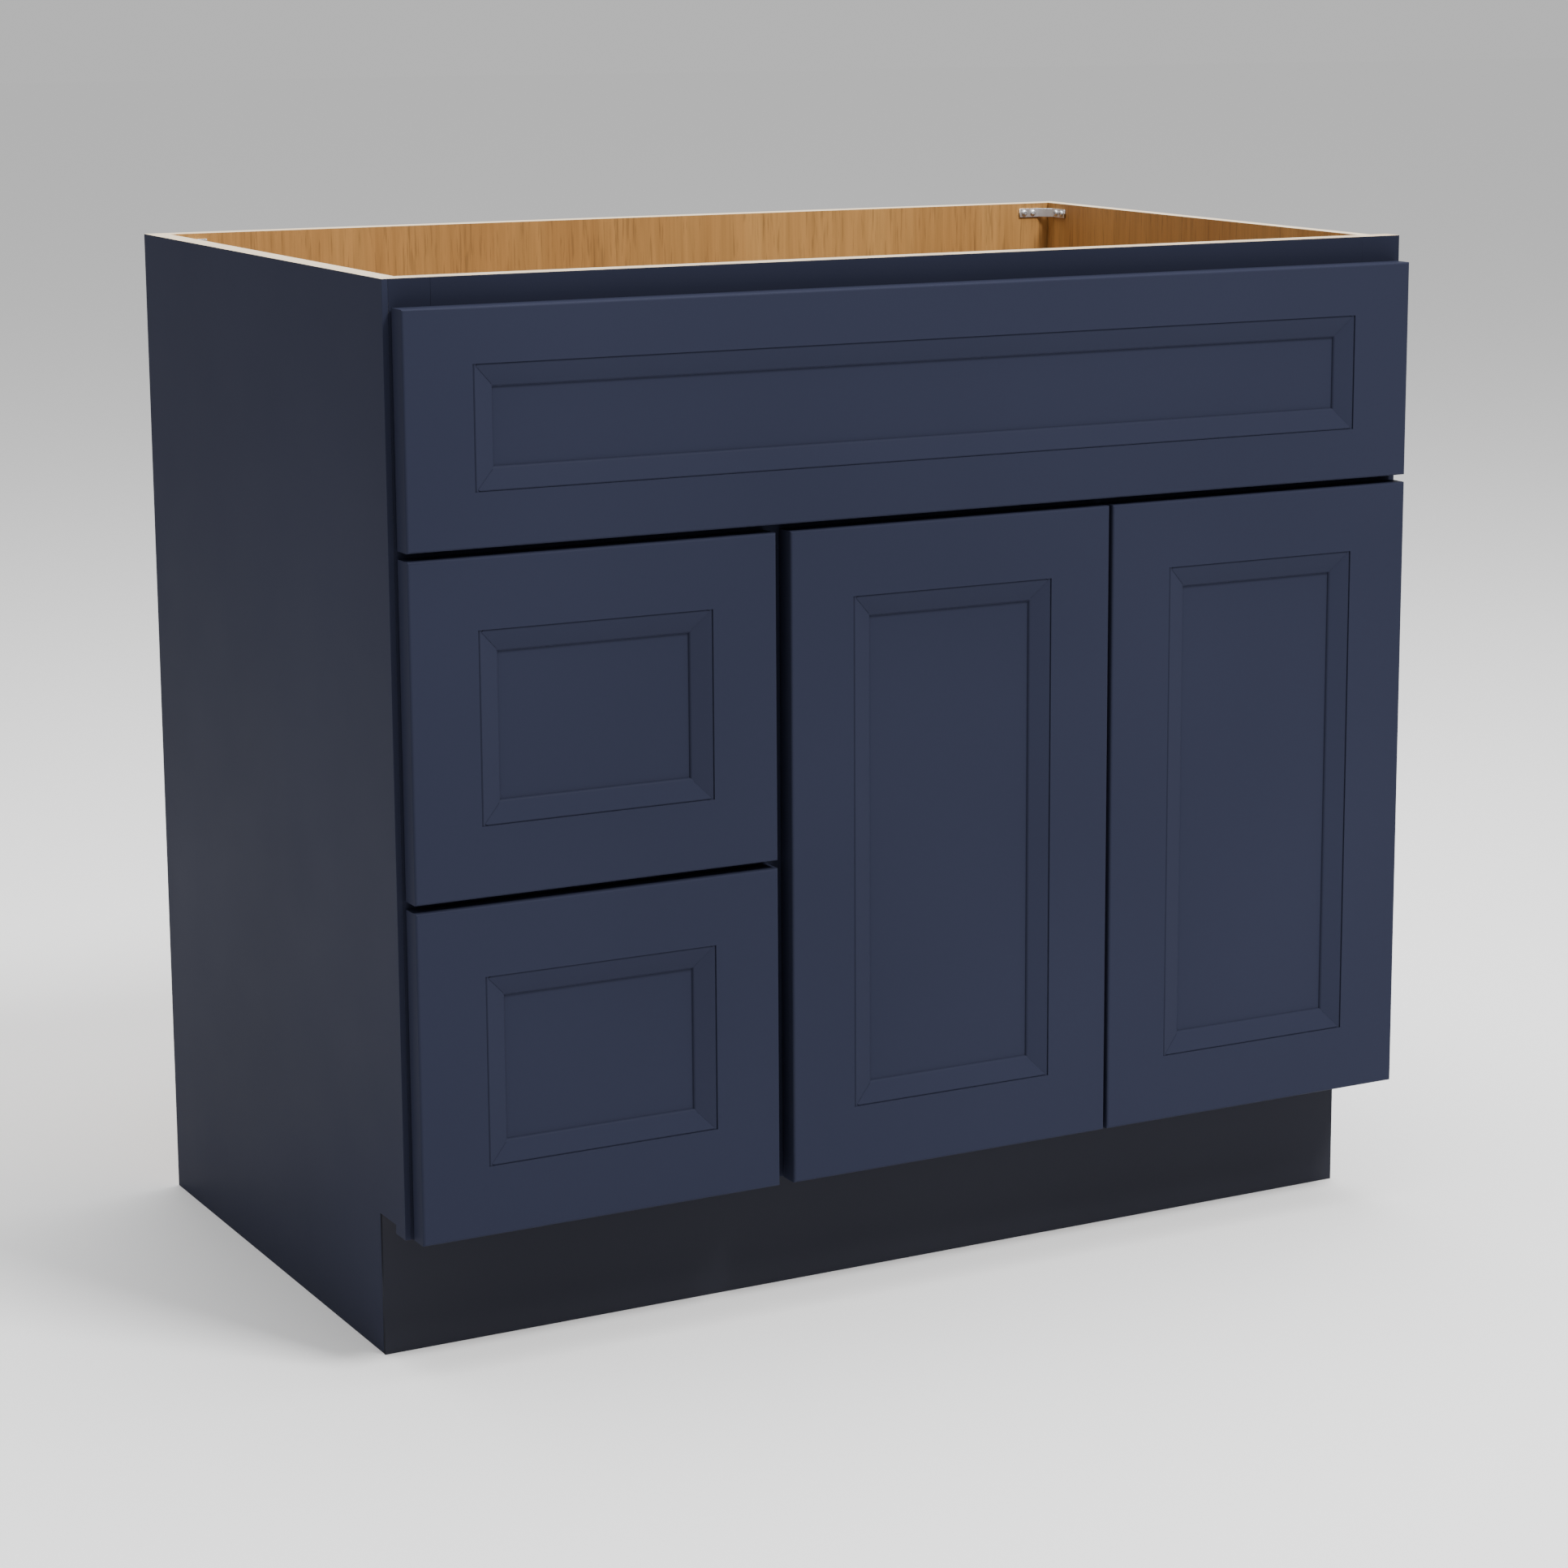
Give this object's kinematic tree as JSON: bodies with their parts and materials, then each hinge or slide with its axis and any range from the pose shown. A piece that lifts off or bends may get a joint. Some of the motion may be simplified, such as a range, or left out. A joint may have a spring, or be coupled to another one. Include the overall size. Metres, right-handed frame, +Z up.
{
  "type": "bathroom vanity cabinet",
  "caption": "Navy painted face-frame vanity base cabinet with an open top, a false front, a stack of drawers beside a pair of doors, and a recessed toe kick.",
  "frame": {"origin": "on the floor, under the centre of the box that holds the whole cabinet", "axes": "+X to the right seen from the front, +Y to the wall at the back, +Z up"},
  "size_m": [0.9144, 0.5544, 0.8382],
  "materials": {
    "navy_paint": "satin navy paint over hardwood and MDF",
    "navy_toe_kick": "dull dark navy skin",
    "maple_plywood": "clear-coated maple plywood",
    "drawer_maple": "clear-coated solid maple",
    "zinc_steel": "bright zinc plated sheet steel",
    "bumper_rubber": "clear soft polyurethane"
  },
  "bodies": {
    "cabinet": {"back_panel": "maple_plywood", "bottom_rail": "navy_paint", "cabinet_screws": "zinc_steel", "centre_mullion": "navy_paint", "corner_brace_screws": "zinc_steel", "corner_braces": "zinc_steel", "drawer_rail": "navy_paint", "false_front_brackets": "zinc_steel", "false_front_panel": "navy_paint", "false_front_rails": "navy_paint", "false_front_stiles": "navy_paint", "floor_panel": "maple_plywood", "hinge_frame_plates": "zinc_steel", "left_end_skin": "navy_paint", "left_side_panel": "maple_plywood", "left_stile": "navy_paint", "partition_panel": "maple_plywood", "right_side_panel": "maple_plywood", "right_stile": "navy_paint", "sink_rail": "navy_paint", "slide_cabinet_members": "zinc_steel", "slide_packing_boards": "maple_plywood", "toe_kick_board": "maple_plywood", "toe_kick_skin": "navy_toe_kick", "top_rail": "navy_paint"},
    "upper_drawer": {"upper_drawer_box_bottom": "drawer_maple", "upper_drawer_box_ends": "drawer_maple", "upper_drawer_box_sides": "drawer_maple", "upper_drawer_bumpers": "bumper_rubber", "upper_drawer_front_panel": "navy_paint", "upper_drawer_front_rails": "navy_paint", "upper_drawer_front_stiles": "navy_paint", "upper_drawer_screws": "zinc_steel", "upper_slide_drawer_members": "zinc_steel"},
    "upper_slides": {"upper_slide_middle_members": "zinc_steel"},
    "lower_drawer": {"lower_drawer_box_bottom": "drawer_maple", "lower_drawer_box_ends": "drawer_maple", "lower_drawer_box_sides": "drawer_maple", "lower_drawer_bumpers": "bumper_rubber", "lower_drawer_front_panel": "navy_paint", "lower_drawer_front_rails": "navy_paint", "lower_drawer_front_stiles": "navy_paint", "lower_drawer_screws": "zinc_steel", "lower_slide_drawer_members": "zinc_steel"},
    "lower_slides": {"lower_slide_middle_members": "zinc_steel"},
    "left_door": {"left_door_bumpers": "bumper_rubber", "left_door_hinge_cups": "zinc_steel", "left_door_panel": "navy_paint", "left_door_rails": "navy_paint", "left_door_stiles": "navy_paint"},
    "left_centre_links": {"left_hinge_centre_links": "zinc_steel"},
    "left_outer_links": {"left_hinge_outer_links": "zinc_steel"},
    "right_door": {"right_door_bumpers": "bumper_rubber", "right_door_hinge_cups": "zinc_steel", "right_door_panel": "navy_paint", "right_door_rails": "navy_paint", "right_door_stiles": "navy_paint"},
    "right_centre_links": {"right_hinge_centre_links": "zinc_steel"},
    "right_outer_links": {"right_hinge_outer_links": "zinc_steel"}
  },
  "joints": [
    {"name": "upper_drawer_slide", "type": "slide", "parent": "cabinet", "child": "upper_drawer", "axis": [0, -1, 0], "range_m": [0, 0.44]},
    {"name": "upper_middle_member_slide", "type": "slide", "parent": "cabinet", "child": "upper_slides", "axis": [0, -1, 0], "range_m": [0, 0.22]},
    {"name": "lower_drawer_slide", "type": "slide", "parent": "cabinet", "child": "lower_drawer", "axis": [0, -1, 0], "range_m": [0, 0.44]},
    {"name": "lower_middle_member_slide", "type": "slide", "parent": "cabinet", "child": "lower_slides", "axis": [0, -1, 0], "range_m": [0, 0.22]},
    {"name": "left_door_hinge", "type": "hinge", "parent": "cabinet", "child": "left_door", "pos_m": [-0.12735, -0.27722, 0.3694], "axis": [0, 0, 1], "range_deg": [-90, 0]},
    {"name": "left_fixed_pin_hinge", "type": "hinge", "parent": "cabinet", "child": "left_centre_links", "pos_m": [-0.09435, -0.25172, 0.3694], "axis": [0, 0, 1], "range_deg": [-90, 0]},
    {"name": "left_cup_pin_hinge", "type": "hinge", "parent": "left_door", "child": "left_outer_links", "pos_m": [-0.10915, -0.26372, 0.3694], "axis": [0, 0, 1], "range_deg": [0, 90]},
    {"name": "right_door_hinge", "type": "hinge", "parent": "cabinet", "child": "right_door", "pos_m": [0.44725, -0.27722, 0.3694], "axis": [0, 0, 1], "range_deg": [0, 105]},
    {"name": "right_fixed_pin_hinge", "type": "hinge", "parent": "cabinet", "child": "right_centre_links", "pos_m": [0.41425, -0.25172, 0.3694], "axis": [0, 0, 1], "range_deg": [0, 105]},
    {"name": "right_cup_pin_hinge", "type": "hinge", "parent": "right_door", "child": "right_outer_links", "pos_m": [0.4076, -0.26372, 0.3694], "axis": [0, 0, 1], "range_deg": [-105, 0]}
  ],
  "couplings": [
    {"joint": "upper_middle_member_slide", "follows": "upper_drawer_slide", "ratio": 0.5},
    {"joint": "lower_middle_member_slide", "follows": "lower_drawer_slide", "ratio": 0.5},
    {"joint": "left_fixed_pin_hinge", "follows": "left_door_hinge", "ratio": 1},
    {"joint": "left_cup_pin_hinge", "follows": "left_door_hinge", "ratio": -1},
    {"joint": "right_fixed_pin_hinge", "follows": "right_door_hinge", "ratio": 1},
    {"joint": "right_cup_pin_hinge", "follows": "right_door_hinge", "ratio": -1}
  ]
}
